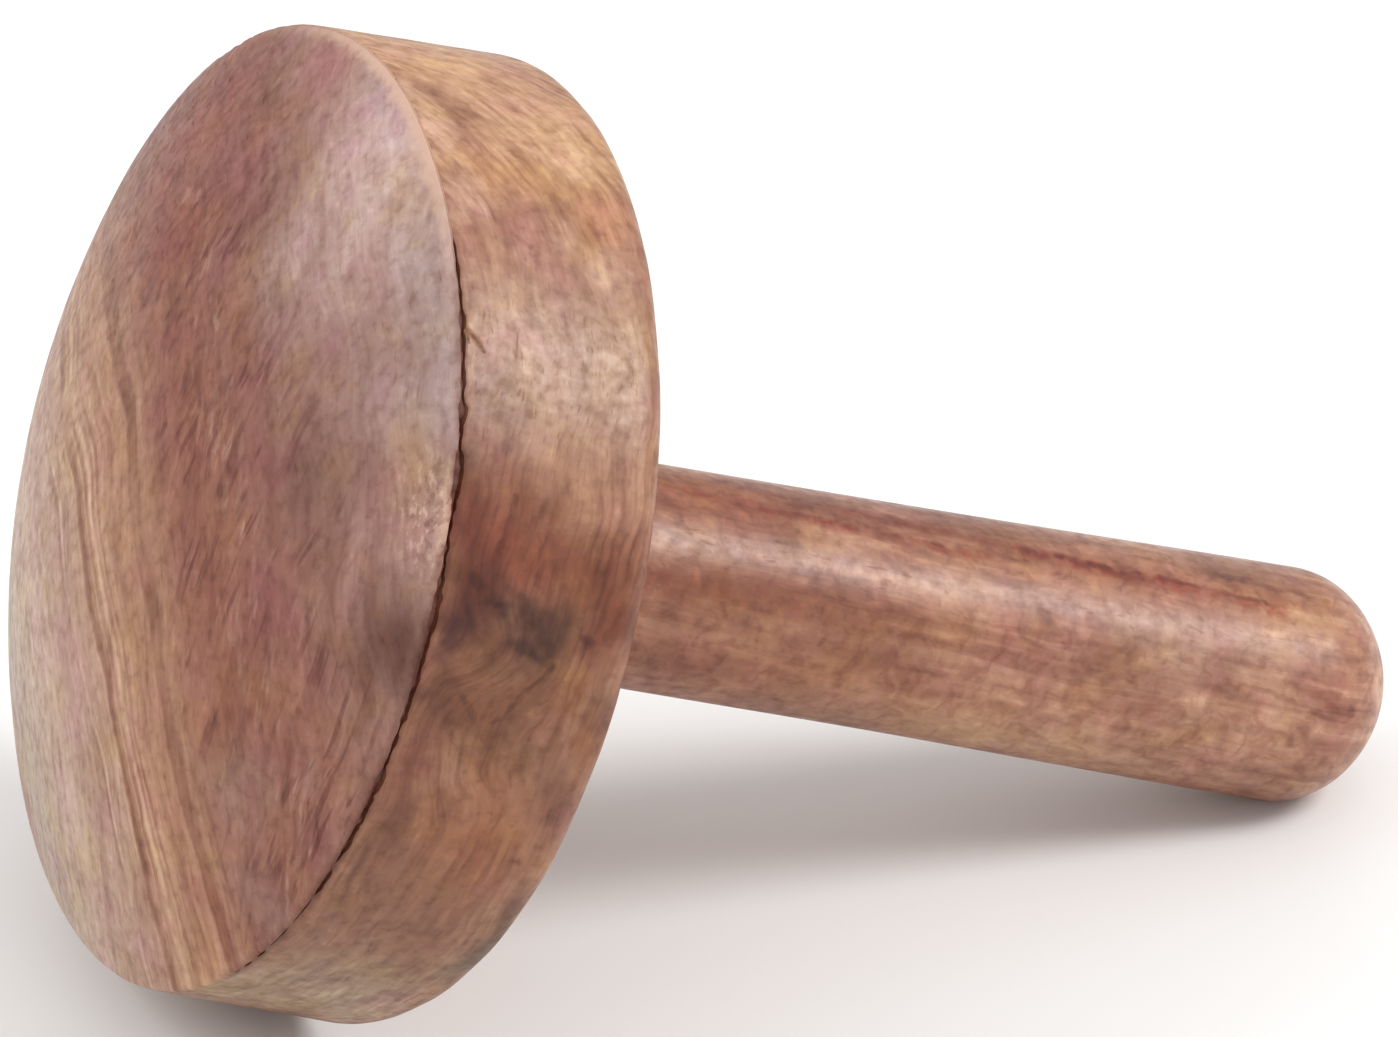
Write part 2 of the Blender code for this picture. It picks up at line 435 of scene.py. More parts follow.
def crack_depth(turn, height, radius):
    """The depth of the drying cracks at a place on the rim."""
    depth = np.zeros_like(turn)
    for turn_a, height_a, turn_b, height_b, half, deepest in cracks():
        along = np.radians(turn - turn_a) * radius
        end = math.radians(turn_b - turn_a) * BACK_RADIUS
        length = math.hypot(end, height_b - height_a)
        direction = (end / length, (height_b - height_a) / length)
        share = np.clip((along * direction[0] + (height - height_a) * direction[1]) / length, 0.0, 1.0)
        away = np.hypot(along - share * end, height - height_a - share * (height_b - height_a))
        width = half * (1.15 - share)
        depth = np.maximum(depth, deepest * (1 - 0.5 * share) * np.exp(-(away / width) ** 2))
    return depth


def backing_profile():
    """The backing block from the mortise's mouth out over the rim and in to the housing."""
    round_centre = (BACK_RADIUS - BACK_ROUND, BACK_HEIGHT - BACK_ROUND)
    back_edge = arc(round_centre, BACK_ROUND, BACK_ROUND, 0.0, math.pi / 2, 10)
    seat = SHOULDER_HEIGHT - FIT_GAP
    mortise_neck = TENON_NECK_RADIUS + FIT_GAP
    return [
        *joint_side(MORTISE_RADIUS),
        (RIM_RADIUS, 0.0),
        *reversed(line(back_edge[0], (RIM_RADIUS, 0.0), RIM_RINGS, crowd=1.5)[1:]),
        *back_edge,
        *line(back_edge[-1], (HOUSING_RADIUS + 0.6 * MM, BACK_HEIGHT), 7)[1:],
        *arc((HOUSING_RADIUS + 0.35 * MM, BACK_HEIGHT - 0.35 * MM), 0.35 * MM, 0.35 * MM,
             math.pi / 2, math.pi, 4),
        (HOUSING_RADIUS, seat),
        (mortise_neck, seat),
        *line((mortise_neck, seat), (MORTISE_RADIUS, 0.0), 5)[1:],
    ]


def shape_backing(radius, height, angle):
    """The rim's soft waves and cracks, its side of the joint and the worn back edge."""
    turn = turn_of(angle)
    gap = BACKING_SHARE * joint_gap(angle)
    outside = rise(radius, HOUSING_RADIUS + 6 * MM, HOUSING_RADIUS + 20 * MM)
    side = rise(height, 0.0, 1.2 * MM)
    meeting = height < TINY
    level = np.where(meeting, half_space(radius, gap), height)
    near_joint = ~meeting & (radius > RIM_RADIUS - 1 * MM)
    level = np.where(near_joint, level + gap * np.clip(1 - height / GAP_EASE, 0.0, 1.0), level)
    from_corner = np.hypot(np.minimum(radius - RIM_RADIUS, 0.0), level - gap)
    wear = np.exp(-(from_corner / (0.25 * MM)) ** 2)
    waves = 0.10 * MM * wobble(angle, 2, 8, 41) + 0.05 * MM * unevenness(angle, height, 22 * MM, 42)
    fine = 0.010 * MM * unevenness(angle, height, 4 * MM, 43)
    at_rim = rise(radius, RIM_RADIUS - 8 * MM, RIM_RADIUS)
    worn = radius + (waves + fine) * at_rim * side - wear * 0.10 * MM
    worn = worn - crack_depth(turn, level, radius) * at_rim
    top = rise(height, BACK_HEIGHT - 1 * MM, BACK_HEIGHT)
    level = level - (0.06 * MM + 0.05 * MM * unevenness(angle, radius, 25 * MM, 44)) * top * outside
    edge = rise(height, BACK_HEIGHT - BACK_ROUND, BACK_HEIGHT) * rise(radius, BACK_FLAT_RADIUS - 4 * MM,
                                                                      BACK_FLAT_RADIUS)
    worn = worn - 0.20 * MM * edge * (0.5 + 0.5 * np.clip(wobble(angle, 6, 30, 45), -1, 1))
    return worn, level


def make_backing():
    """The flat rear board of the head, with its mortise and housing."""
    piece = turned("head_backing", backing_profile(), shape_backing, closed=True)
    stand_in(piece, backing_wood(), "backing_block")


# ---------------- glue line

def glue_profile():
    """The glue film, out to just inside the rim, with a rounded edge."""
    half = GLUE_HALF
    reach = RIM_RADIUS - 0.45 * MM
    upper = [
        (0.0, half),
        *line((0.3 * RIM_RADIUS, half), (RIM_RADIUS - 5 * MM, half), 4),
        *line((RIM_RADIUS - 5 * MM, half), (reach, half), 6),
    ]
    lower = [(radius, -height) for radius, height in reversed(upper)]
    return upper + arc((reach, 0.0), half, half, math.pi / 2, -math.pi / 2, 6) + lower


def shape_glue(radius, height, angle):
    """The film's ragged edge, thicker where the joint stands open."""
    edge = rise(radius, RIM_RADIUS - 4 * MM, RIM_RADIUS - 0.7 * MM)
    ragged = 0.14 * MM * wobble(angle, 20, 200, 51) - 0.10 * MM
    opening = joint_gap(angle)
    share = np.where(height > 0, GLUE_FILL * BACKING_SHARE, 1.0)
    thicker = 1 + edge * np.clip(share * opening / GLUE_HALF - 1, -0.9, None)
    return radius + edge * (ragged - 0.5 * opening), height * thicker


def make_glue():
    """The film of glue between the two boards, its dark colour partly painted shade of the open gap."""
    piece = turned("glue_film", glue_profile(), shape_glue)
    stand_in(piece, glue_and_gap_shade(), "glue_line")


# ---------------- handle

def handle_profile():
    """The handle from the tenon's wedged end, over the shoulder and along the grip to its rounded end."""
    end = arc((0.0, HANDLE_ROUND_HEIGHT), HANDLE_END_RADIUS, HANDLE_TOP - HANDLE_ROUND_HEIGHT,
              0.0, math.pi / 2, 26)
    end[-1] = (0.0, HANDLE_TOP)
    return [
        (0.0, HANDLE_MEET),
        (0.5 * TENON_RADIUS, HANDLE_MEET),
        *line((TENON_RADIUS, HANDLE_MEET), (TENON_NECK_RADIUS, SHOULDER_HEIGHT), 8),
        (TENON_NECK_RADIUS, SHOULDER_HEIGHT),
        *arc((NECK_RADIUS - 0.4 * MM, SHOULDER_HEIGHT + 0.4 * MM), 0.4 * MM, 0.4 * MM,
             -math.pi / 2, 0.0, 3),
        *line((NECK_RADIUS, SHOULDER_HEIGHT + 0.6 * MM), end[0], 90),
        *end,
    ]


def shape_handle(radius, height, angle):
    """A hand-turned grip: slightly out of round, with long shallow waves."""
    grip = rise(height, BACK_HEIGHT, BACK_HEIGHT + 10 * MM)
    end = rise(height, HANDLE_TOP, HANDLE_TOP - 3 * MM)
    waves = 0.10 * MM * unevenness(np.ones_like(angle), height, 45 * MM, 61)
    oval = 0.08 * MM * wobble(angle, 2, 4, 62) + 0.05 * MM * unevenness(angle, height, 26 * MM, 63)
    return radius + (waves + oval - 0.12 * MM) * grip * end, height


def cut_kerf(piece):
    """Saws the kerf for the wedge across the tenon, a fitting gap wider and deeper than the wedge."""
    points = local_points("tenon_wedge")
    mouth_height, tip_height = heights("tenon_wedge")
    mouth, tip = [np.abs(points[np.isclose(points[:, 2], height, atol=0.01 * MM), 0]).max()
                  for height in (mouth_height, tip_height)]
    below = 1 * MM
    root = tip_height + 2 * MM
    slope = (tip - mouth) / (tip_height - mouth_height)
    cutter = bmesh.new()
    bmesh.ops.create_cube(cutter, size=2.0)
    for vertex in cutter.verts:
        level = root if vertex.co.z > 0 else mouth_height - below
        vertex.co.x *= mouth + FIT_GAP + slope * (level - mouth_height)
        vertex.co.y *= TENON_RADIUS + below
        vertex.co.z = level
    saw = finished_mesh("kerf_cutter", cutter)
    cut = piece.modifiers.new("kerf", "BOOLEAN")
    cut.operation = "DIFFERENCE"
    cut.solver = "EXACT"
    cut.object = saw
    evaluated = piece.evaluated_get(bpy.context.evaluated_depsgraph_get())
    sawn = bpy.data.meshes.new_from_object(evaluated)
    piece.modifiers.clear()
    piece.data = sawn
    bpy.data.objects.remove(saw, do_unlink=True)


def make_handle():
    """The turned handle, with its tenon."""
    piece = turned("turned_handle", handle_profile(), shape_handle)
    cut_kerf(piece)
    stand_in(piece, handle_wood(), "handle")


def finish_wedge():
    """The wedge keeps its CAD shape and gets a planed wood."""
    wedge = frame["nodes"]["tenon_wedge"]
    wedge.data.materials.clear()
    wedge.data.materials.append(wedge_wood())


def stand_in(piece, wood, node):
    """Gives a piece its material, attaches it to the CAD body and hides the CAD node that it stands for."""
    piece.data.materials.clear()
    piece.data.materials.append(wood)
    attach(piece, "root")
    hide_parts(node)


# ---------------- materials

class Wire:
    """A node's output. Arithmetic on it adds a node."""

    def __init__(self, nodes, socket):
        self.nodes = nodes
        self.socket = socket

    def __add__(self, other):
        return self.nodes.math("ADD", self, other)

    def __sub__(self, other):
        return self.nodes.math("SUBTRACT", self, other)

    def __mul__(self, other):
        return self.nodes.math("MULTIPLY", self, other)

    def __truediv__(self, other):
        return self.nodes.math("DIVIDE", self, other)


class Nodes:
    """Builds one material. A value is a number, a colour, a vector or a Wire."""

    def __init__(self, name):
        self.material = bpy.data.materials.new(name)
        self.material.use_nodes = True
        self.tree = self.material.node_tree
        self.shader = self.tree.nodes["Principled BSDF"]

    def feed(self, socket, value):
        """Links or sets one input."""
        if isinstance(value, Wire):
            self.tree.links.new(value.socket, socket)
        elif socket.type == "RGBA":
            socket.default_value = (*value, 1.0)
        else:
            socket.default_value = value

    def add(self, kind, inputs, output=0, **settings):
        """Adds a node and returns one of its outputs."""
        node = self.tree.nodes.new("ShaderNode" + kind)
        for key, value in settings.items():
            setattr(node, key, value)
        for key, value in inputs.items():
            self.feed(node.inputs[key], value)
        return Wire(self, node.outputs[output])

    def place(self):
        """The place in the mallet's own frame, from the object's, which is the row frame."""
        point = self.add("TexCoord", {}, output="Object")
        point = self.vector("SUBTRACT", point, tuple(AXIS.translation))
        ways = [tuple(AXIS.col[i][:3]) for i in range(3)]
        return self.join(*[self.vector("DOT_PRODUCT", point, way, output=1) for way in ways])

    def math(self, operation, *values, clamp=False):
        return self.add("Math", dict(enumerate(values)), operation=operation, use_clamp=clamp)

    def vector(self, operation, *values, output=0):
        return self.add("VectorMath", dict(enumerate(values)), output=output, operation=operation)

    def scaled(self, vector, amount):
        """A vector times a number."""
        return self.add("VectorMath", {0: vector, 3: amount}, operation="SCALE")

    def length(self, vector):
        return self.vector("LENGTH", vector, output=1)

    def split(self, vector):
        """A vector's x, y and z."""
        node = self.tree.nodes.new("ShaderNodeSeparateXYZ")
        self.feed(node.inputs[0], vector)
        return [Wire(self, output) for output in node.outputs]

    def join(self, x, y, z):
        return self.add("CombineXYZ", {0: x, 1: y, 2: z})

    def noise(self, vector, size=1.0, detail=3.0, rough=0.55, output=0, distort=0.0):
        """Noise whose bumps are about this size."""
        inputs = {"Vector": vector, "Scale": 1.0 / size, "Detail": detail, "Roughness": rough,
                  "Distortion": distort}
        return self.add("TexNoise", inputs, output=output)

    def span(self, value, low, high, to_low=0.0, to_high=1.0):
        """Maps low..high smoothly to to_low..to_high, clamped."""
        inputs = {"Value": value, "From Min": low, "From Max": high, "To Min": to_low, "To Max": to_high}
        return self.add("MapRange", inputs, interpolation_type="SMOOTHSTEP")

    def band(self, value, low, full, last, high, least=0.0):
        """1 from full to last, and down to least at low and at high."""
        return self.span(value, low, full, least, 1.0) * self.span(value, high, last, least, 1.0)

    def mix(self, share, one, two, blend="MIX"):
        """Mixes two colours."""
        return self.add("Mix", {0: share, 6: one, 7: two}, output=2, data_type="RGBA", blend_type=blend)

    def tint(self, colour, share, by):
        """Multiplies a colour by another, where share is 1."""
        return self.mix(share, colour, by, blend="MULTIPLY")

    def tints(self, colour, layers, depth=1.0):
        """Tints a colour by layers of (noise, where it starts, where it is full, strength, tint)."""
        for noise, start, full, strength, tint in layers:
            colour = self.tint(colour, self.span(noise, start, full, 0.0, strength * depth), tint)
        return colour

    def ramp(self, value, stops):
        """A colour ramp with (position, colour) stops."""
        node = self.tree.nodes.new("ShaderNodeValToRGB")
        node.color_ramp.interpolation = "EASE"
        elements = node.color_ramp.elements
        while len(elements) < len(stops):
            elements.new(0.5)
        for element, (position, colour) in zip(elements, stops):
            element.position = position
            element.color = (*colour, 1.0)
        self.feed(node.inputs[0], value)
        return Wire(self, node.outputs[0])

    def warp(self, place, size, amount, detail=2.0):
        """Moves the place about by up to this amount."""
        cloud = self.noise(place, size, detail=detail, output=1)
        centred = self.vector("SUBTRACT", cloud, (0.5, 0.5, 0.5))
        return self.vector("ADD", place, self.scaled(centred, 2 * amount))

    def near(self, place, centre, reach):
        """1 at the centre, fading smoothly to 0 at the reach, or at the reach along each local axis."""
        reach = reach if isinstance(reach, tuple) else (reach, reach, reach)
        offset = self.vector("SUBTRACT", place, centre)
        return self.span(self.length(self.vector("DIVIDE", offset, reach)), 1.0, 0.15)

    def patches(self, colour, place, patches):
        """Lays soft patches over a colour: (centre, reach, patch colour, strength) each."""
        for centre, reach, patch, strength in patches:
            colour = self.mix(self.near(place, centre, reach) * strength, colour, patch)
        return colour

    def surface(self, colour, roughness, bumps, coat=0.0):
        """Feeds the shader. bumps are (height, strength, distance) from coarse to fine."""
        self.feed(self.shader.inputs["Base Color"], colour)
        self.feed(self.shader.inputs["Roughness"], roughness)
        self.shader.inputs["Coat Weight"].default_value = coat
        self.shader.inputs["Coat Roughness"].default_value = 0.35
        normal = None
        for height, strength, distance in bumps:
            inputs = {"Height": height, "Strength": strength, "Distance": distance}
            if normal is not None:
                inputs["Normal"] = normal
            normal = self.add("Bump", inputs)
        self.feed(self.shader.inputs["Normal"], normal)
        return self.material


def side_place(radius, turn, height):
    """The point on a turned side at a turn and height."""
    angle = math.radians(turn)
    return (-radius * math.sin(angle), -radius * math.cos(angle), height)


def rim_place(turn, height):
    return side_place(RIM_RADIUS, turn, height)


def grip_place(turn, height):
    return side_place(HANDLE_END_RADIUS, turn, height)


def percent(colour):
    return tuple(part / 100 for part in colour)


def side_patches(rows, surface):
    """Patches on a turned side, from rows that give them by turn and height."""
    return [(surface(turn, height * MM), (around * MM, around * MM, along * MM), percent(colour), strength)
            for turn, height, around, along, colour, strength in rows]


def growth_bands(nodes, colour, rings, wander, where, bands, tints):
    """Stripes of late and early wood. bands are (pitch, how far it wanders, strength), and tints are
    (where the wave starts to show, where it is full, tint)."""
    for pitch, bend, strength in bands:
        wave = nodes.math("SINE", rings * (math.tau / pitch) + wander * bend)
        for start, full, tint in tints:
            colour = nodes.tint(colour, nodes.span(wave, start, full) * where * strength, tint)
    return colour


def wood_detail(nodes, place, across, along, colour, depth, pore_depth):
    """Adds figure, fibres, pores, blotches and changes of hue to a wood's colour. across runs over the
    growth rings, in metres, and along is a place squeezed so that its noise is long with the grain.
    Returns the colour and the fibres, pores and blotches."""
    def grain(pitch, stretch, shift, detail):
        over = nodes.join(across / pitch, shift, 0)
        return nodes.noise(nodes.vector("ADD", nodes.scaled(along, stretch), over), detail=detail)

    figure = grain(2.4 * MM, 0.7, 3.1, 2.5)
    fibres = grain(0.70 * MM, 1.0, 0.0, 3.0)
    pores = nodes.span(grain(0.46 * MM, 2.2, 7.3, 1.5), 0.63, 0.74)
    blotch = nodes.noise(place, 1.8 * MM)
    cloud = nodes.noise(place, 8 * MM, rough=0.6)
    hue = nodes.noise(nodes.vector("ADD", place, (0, 70 * MM, 0)), 9 * MM)
    colour = nodes.tints(colour, (
        (figure, 0.46, 0.72, 0.62, (0.60, 0.46, 0.41)),
        (figure, 0.46, 0.24, 0.62, (1.28, 1.36, 1.38)),
        (fibres, 0.44, 0.72, 0.42, (0.64, 0.51, 0.46)),
        (fibres, 0.46, 0.24, 0.45, (1.26, 1.34, 1.36)),
        (blotch, 0.48, 0.72, 0.60, (0.58, 0.47, 0.43)),
        (blotch, 0.46, 0.24, 0.60, (1.35, 1.46, 1.48)),
        (cloud, 0.48, 0.70, 0.45, (0.74, 0.60, 0.55)),
        (cloud, 0.46, 0.26, 0.30, (1.12, 1.20, 1.22)),
        (hue, 0.50, 0.66, 0.80, (1.00, 0.87, 1.04)),
        (hue, 0.48, 0.34, 0.80, (1.05, 1.06, 0.82)),
    ), depth)
    colour = nodes.tint(colour, pores * pore_depth, (0.42, 0.28, 0.23))
    return colour, (fibres, pores, blotch)


def wood_surface(nodes, colour, texture, smoothness=0.40, coat=0.0, shine=0.40):
    """Roughness and bumps of a sanded, oiled wood."""
    fibres, pores, blotch = texture
    roughness = nodes.span(blotch, 0.3, 0.7, smoothness - 0.05, smoothness + 0.09)
    roughness = nodes.math("ADD", roughness, pores * 0.22, clamp=True)
    relief = fibres * 0.6 - pores * 0.9
    nodes.shader.inputs["Specular IOR Level"].default_value = shine
    return nodes.surface(colour, roughness, [(blotch, 0.14, 0.25 * MM), (relief, 0.13, 0.16 * MM)], coat)


# Most colours in FACE_ZONES and the three tables of patches are measured values, rounded. A separate
# script averaged the photo's colour at each place and proposed them.

# The face's growth rings are arcs about a heart that lies beyond the edge, low on the far side.
FACE_HEART = (81 * MM, 46 * MM, 0.0)
FACE_RING_SPAN = 160 * MM
FACE_ZONES = (
    # distance from the heart in millimetres, colour in percent
    (30, (42, 27, 19)),
    (46, (44, 34, 27)),
    (56, (45, 32, 24)),
    (64, (48, 33, 25)),
    (70, (41, 26, 19)),
    (78, (41, 25, 18)),
    (86, (42, 24, 15)),
    (94, (37, 19, 11)),
    (100, (32, 16, 9.5)),
    (106, (27, 11, 7.5)),
    (112, (24, 9, 5.5)),
    (124, (26, 11, 8)),
    (131, (27, 13, 9.5)),
    (138, (31, 16, 13)),
    # the mauve of these last zones, at the top, is partly painted sheen
    (145, (37, 21, 17)),
    (152, (38, 26, 24)),
)
FACE_PATCHES = (
    # local x and y in millimetres, reach, colour in percent, strength
    (-60, 14, 12, (40, 17, 16), 0.7),
    (-58, -14, 20, (54, 37, 33), 0.85),
    (-42, -14, 16, (46, 32, 28), 0.7),
    (-40, -38, 16, (28, 17, 15), 0.6),
    (-31, -51, 11, (38, 21, 13), 0.85),
    (-52, 40, 9, (33, 14, 8.5), 0.8),
    (-40, 34, 20, (26, 8, 5), 0.85),
    (-26, 50, 14, (23, 8.5, 5.5), 0.8),
    (-18, 28, 13, (34, 12, 6), 0.7),
    (-28, 14, 15, (25, 6, 4), 0.8),
    (-42, 14, 12, (27, 9.5, 8.5), 0.7),
    (-12, 0, 13, (38, 15, 6.5), 0.5),
    (-20, -34, 14, (17, 7.5, 5), 0.7),
    (-12, -61, 13, (8, 2, 1), 0.9),
    (-10, -21, 9, (21, 7.5, 4), 0.6),
    (18, -43, 11, (32, 19, 14), 0.6),
    (31, -52, 10, (24, 14, 11), 0.65),
)


def face_wood():
    """The striking face: curved rings, tan on the heart's side, dark red-brown, then mauve at the top,
    partly painted sheen.
    """
    nodes = Nodes("face_wood_grain")
    place = nodes.place()
    bent = nodes.warp(nodes.warp(place, 34 * MM, 4.0 * MM), 13 * MM, 0.9 * MM)
    x, y, _ = nodes.split(nodes.vector("SUBTRACT", bent, FACE_HEART))
    rings = nodes.length(nodes.join(x, y, 0))
    stops = [(distance * MM / FACE_RING_SPAN, percent(colour)) for distance, colour in FACE_ZONES]
    colour = nodes.ramp(rings / FACE_RING_SPAN, stops)
    # darker late wood, strongest in the tan sapwood, uneven along the rings and from ring to ring
    wander = nodes.noise(nodes.join(rings / (7 * MM), 0.4, 0.7))
    from_ring_to_ring = nodes.noise(nodes.join(rings / (6 * MM), 5.3, 1.7), detail=1.0)
    where = nodes.band(rings, 66 * MM, 80 * MM, 98 * MM, 110 * MM, least=0.12)
    where *= nodes.span(nodes.noise(place, 16 * MM, detail=2), 0.35, 0.62, 0.35, 1.0)
    where *= nodes.span(from_ring_to_ring, 0.40, 0.60, 0.35, 1.1)
    bands = ((4.4 * MM, 14.3, 0.85), (1.9 * MM, 15.9, 0.60))
    tints = ((0.25, 0.85, (0.66, 0.50, 0.42)), (-0.2, -0.9, (1.16, 1.24, 1.26)))
    colour = growth_bands(nodes, colour, rings, wander, where, bands, tints)
    colour = heart_specks(nodes, place, rings, colour)
    patches = [((x * MM, y * MM, -5 * MM), reach * MM, percent(patch), strength)
               for x, y, reach, patch, strength in FACE_PATCHES]
    colour = nodes.patches(colour, nodes.warp(bent, 9 * MM, 3.5 * MM, detail=3), patches)
    along = nodes.scaled(place, 1 / (5.5 * MM))
    colour, texture = wood_detail(nodes, place, rings, along, colour, 0.80, 0.16)
    colour = edge_highlight_and_wear(nodes, place, colour)
    colour = joint_shade(nodes, place, colour)
    return wood_surface(nodes, colour, texture, smoothness=0.42, shine=0.25)


def heart_specks(nodes, place, rings, colour):
    """Dark gum specks and pale flecks in the dark wood between the tan and the mauve."""
    cloudy = nodes.span(nodes.noise(place, 7 * MM, detail=2), 0.40, 0.60, 0.25, 1.0)
    dark_wood = nodes.band(rings, 98 * MM, 108 * MM, 128 * MM, 142 * MM) * cloudy
    fleck_band = nodes.band(rings, 110 * MM, 115 * MM, 119 * MM, 125 * MM) * cloudy
    for size, length, start, full, strength, tint, where in (
            (1.3 * MM, 2.0 * MM, 0.50, 0.62, 0.72, (0.50, 0.32, 0.30), dark_wood),
            (1.0 * MM, 1.8 * MM, 0.54, 0.68, 0.55, (1.25, 1.45, 1.55), dark_wood),
            (0.9 * MM, 2.4 * MM, 0.50, 0.64, 0.95, (1.35, 1.75, 1.90), fleck_band),
            (4.0 * MM, 6.0 * MM, 0.50, 0.66, 0.50, (0.66, 0.44, 0.44), dark_wood)):
        over = nodes.join(rings / size, size / MM, 0)
        speck = nodes.noise(nodes.vector("ADD", nodes.scaled(place, 1 / length), over), detail=2, rough=0.5)
        colour = nodes.tint(colour, nodes.span(speck, start, full) * where * strength, tint)
    return colour


def edge_highlight_and_wear(nodes, place, colour):
    """Paler wood along the face block's edge: a painted highlight where the rounded arris catches the light
    along the top, paler wood where the edge is broken, and torn fibres there.
    """
    x, y, _ = nodes.split(place)
    ragged = nodes.noise(place, 2.2 * MM, detail=4, rough=0.7) * (2.4 * MM)
    radius = nodes.length(nodes.join(x, y, 0))
    rubbed = nodes.span(radius + ragged, RIM_RADIUS - 0.9 * MM, RIM_RADIUS + 0.9 * MM)
    # painted highlight: the edge paler along the top, where the rounded arris catches the light
    upper = nodes.near(place, rim_place(88, 0), 48 * MM) * 0.85
    broken = nodes.near(place, rim_place(27, 0), 8 * MM) * 0.85
    share = nodes.math("MAXIMUM", upper, broken) + 0.08
    colour = nodes.mix(rubbed * share, colour, (0.62, 0.40, 0.30))
    torn = nodes.near(place, rim_place(27, 0), 12 * MM)
    fibre = nodes.noise(nodes.vector("MULTIPLY", place, (1.0, 1.0, 2.5)), 1.7 * MM)
    pale = torn * nodes.span(fibre, 0.52, 0.62, 0.0, 0.7)
    dark = torn * nodes.span(fibre, 0.46, 0.36, 0.0, 0.6)
    return nodes.tint(nodes.mix(pale, colour, (0.60, 0.42, 0.31)), dark, (0.50, 0.34, 0.30))


# Stretches of the joint along which painted shade darkens the wood
JOINT_SHADE_STRETCHES = (
    # turn in the middle, reach in millimetres, strength
    (50, 12, 0.6),
    (41, 9, 0.55),
    (31, 8, 0.85),
    (22, 6, 0.6),
    (12, 13, 0.85),
    (-8, 14, 0.85),
    (-22, 15, 0.7),
    (-38, 15, 0.6),
    (150, 40, 0.5),
    (-130, 40, 0.5),
)


def joint_shade(nodes, place, colour):
    """Painted shade that darkens the wood on both sides of the joint."""
    away = nodes.math("ABSOLUTE", nodes.split(place)[2])
    ragged = nodes.noise(place, 1.3 * MM, rough=0.6) * (0.9 * MM)
    share = 0.0
    for turn, reach, strength in JOINT_SHADE_STRETCHES:
        here = nodes.near(place, rim_place(turn, 0), reach * MM) * strength
        share = nodes.math("MAXIMUM", share, here)
    return nodes.tint(colour, share * nodes.span(away + ragged, 1.6 * MM, 0.6 * MM), (0.40, 0.19, 0.14))


RIM_PATCHES = (
    # turn, height in millimetres, reach around and along in millimetres, colour in percent, strength
    (100, 8, 24, 30, (64, 36, 19), 0.8),
    (82, 20, 20, 18, (67, 41, 23), 0.85),
    (68, 22, 9, 8, (54, 27, 14), 0.7),
    (74, 8, 12, 12, (59, 32, 19), 0.7),
    (63, 12, 10, 9, (44, 23, 16), 0.85),
    (80, 1, 14, 4, (80, 53, 36), 0.65),
    (48, 15, 17, 24, (41, 24, 16), 0.85),
    (40, 5, 8, 8, (25, 12, 8), 0.85),
    (32, 2, 7, 4, (14, 4.5, 2), 0.8),
    (33, 21, 11, 13, (40, 21, 12), 0.75),
    (30, 8, 9, 9, (19, 5.5, 2), 0.75),
    (24, 10, 8, 13, (20, 5, 2), 0.85),
    (24, 22, 8, 9, (20, 6.5, 2.5), 0.8),
    (8, 15, 9, 8, (17, 6, 2.5), 0.8),
    (8, 3, 7, 4, (12, 3.5, 1.5), 0.8),
    (7, 27, 8, 5, (14, 6, 3.5), 0.8),
    (0, 17, 8, 9, (19, 7.5, 3.5), 0.8),
    (-8, 3, 9, 4, (20, 7, 3.5), 0.7),
    (-16, 4, 10, 5, (19, 7, 3.5), 0.65),
    (-39, 13, 13, 22, (21, 10, 5), 0.85),
    (-30, 27, 12, 5, (12, 8.5, 5), 0.75),
    (19, 5, 9, 7, (9.5, 2, 1), 0.95),
    (15, 16, 8, 6, (8.5, 3, 1.5), 0.95),
    (18, 10, 5, 5, (5, 1, 0.5), 0.9),
    (13, 8.5, 5, 5, (14, 5, 1.5), 0.8),
    (27, 2, 9, 6, (14, 2.5, 1), 0.85),
    (18, 25, 9, 8, (16, 3.5, 1.5), 0.8),
    (9, 22, 5, 5, (23, 8.5, 3), 0.85),
    (4, 8, 10, 9, (16, 5, 2), 0.75),
    (4, 26, 7, 4, (26, 9.5, 3.5), 0.75),
    (68, 2, 9, 4, (58, 36, 25), 0.7),
    (60, 22, 8, 6, (61, 39, 27), 0.6),
    (15, 2, 6, 4, (6, 1, 1), 0.85),
    (0, 7.5, 5, 4, (33, 16, 8), 0.55),
    (16, 12.5, 5, 4, (5, 1, 0.5), 0.85),
    (64, 16, 5, 4, (62, 40, 29), 0.5),
    (-20, 7.5, 12, 3.5, (36, 17, 11), 0.4),
    (-22, 27, 8, 3, (12, 5, 3), 0.7),
    (-5, 25, 9, 6, (14, 4, 2.5), 0.8),
    (-13, 17, 14, 12, (29, 10, 4), 0.75),
    (-25, 12, 16, 16, (21, 8, 4), 0.8),
    (-50, 12, 20, 24, (36, 26, 16), 0.8),
    (-100, 18, 34, 26, (36, 20, 13), 0.6),
    (150, 12, 34, 24, (28, 14, 9.5), 0.7),
    (-150, 20, 30, 24, (42, 27, 18), 0.6),
)
RIM_KNOTS = (
    # turn, height in millimetres, reach, how far the growth rings swing around it
    (2, 9, 15, 5),
    (13, 9, 8, -3),
    (160, 12, 20, 7),
)
DARK = (0.45, 0.28, 0.22)
PALE = (1.45, 1.55, 1.50)
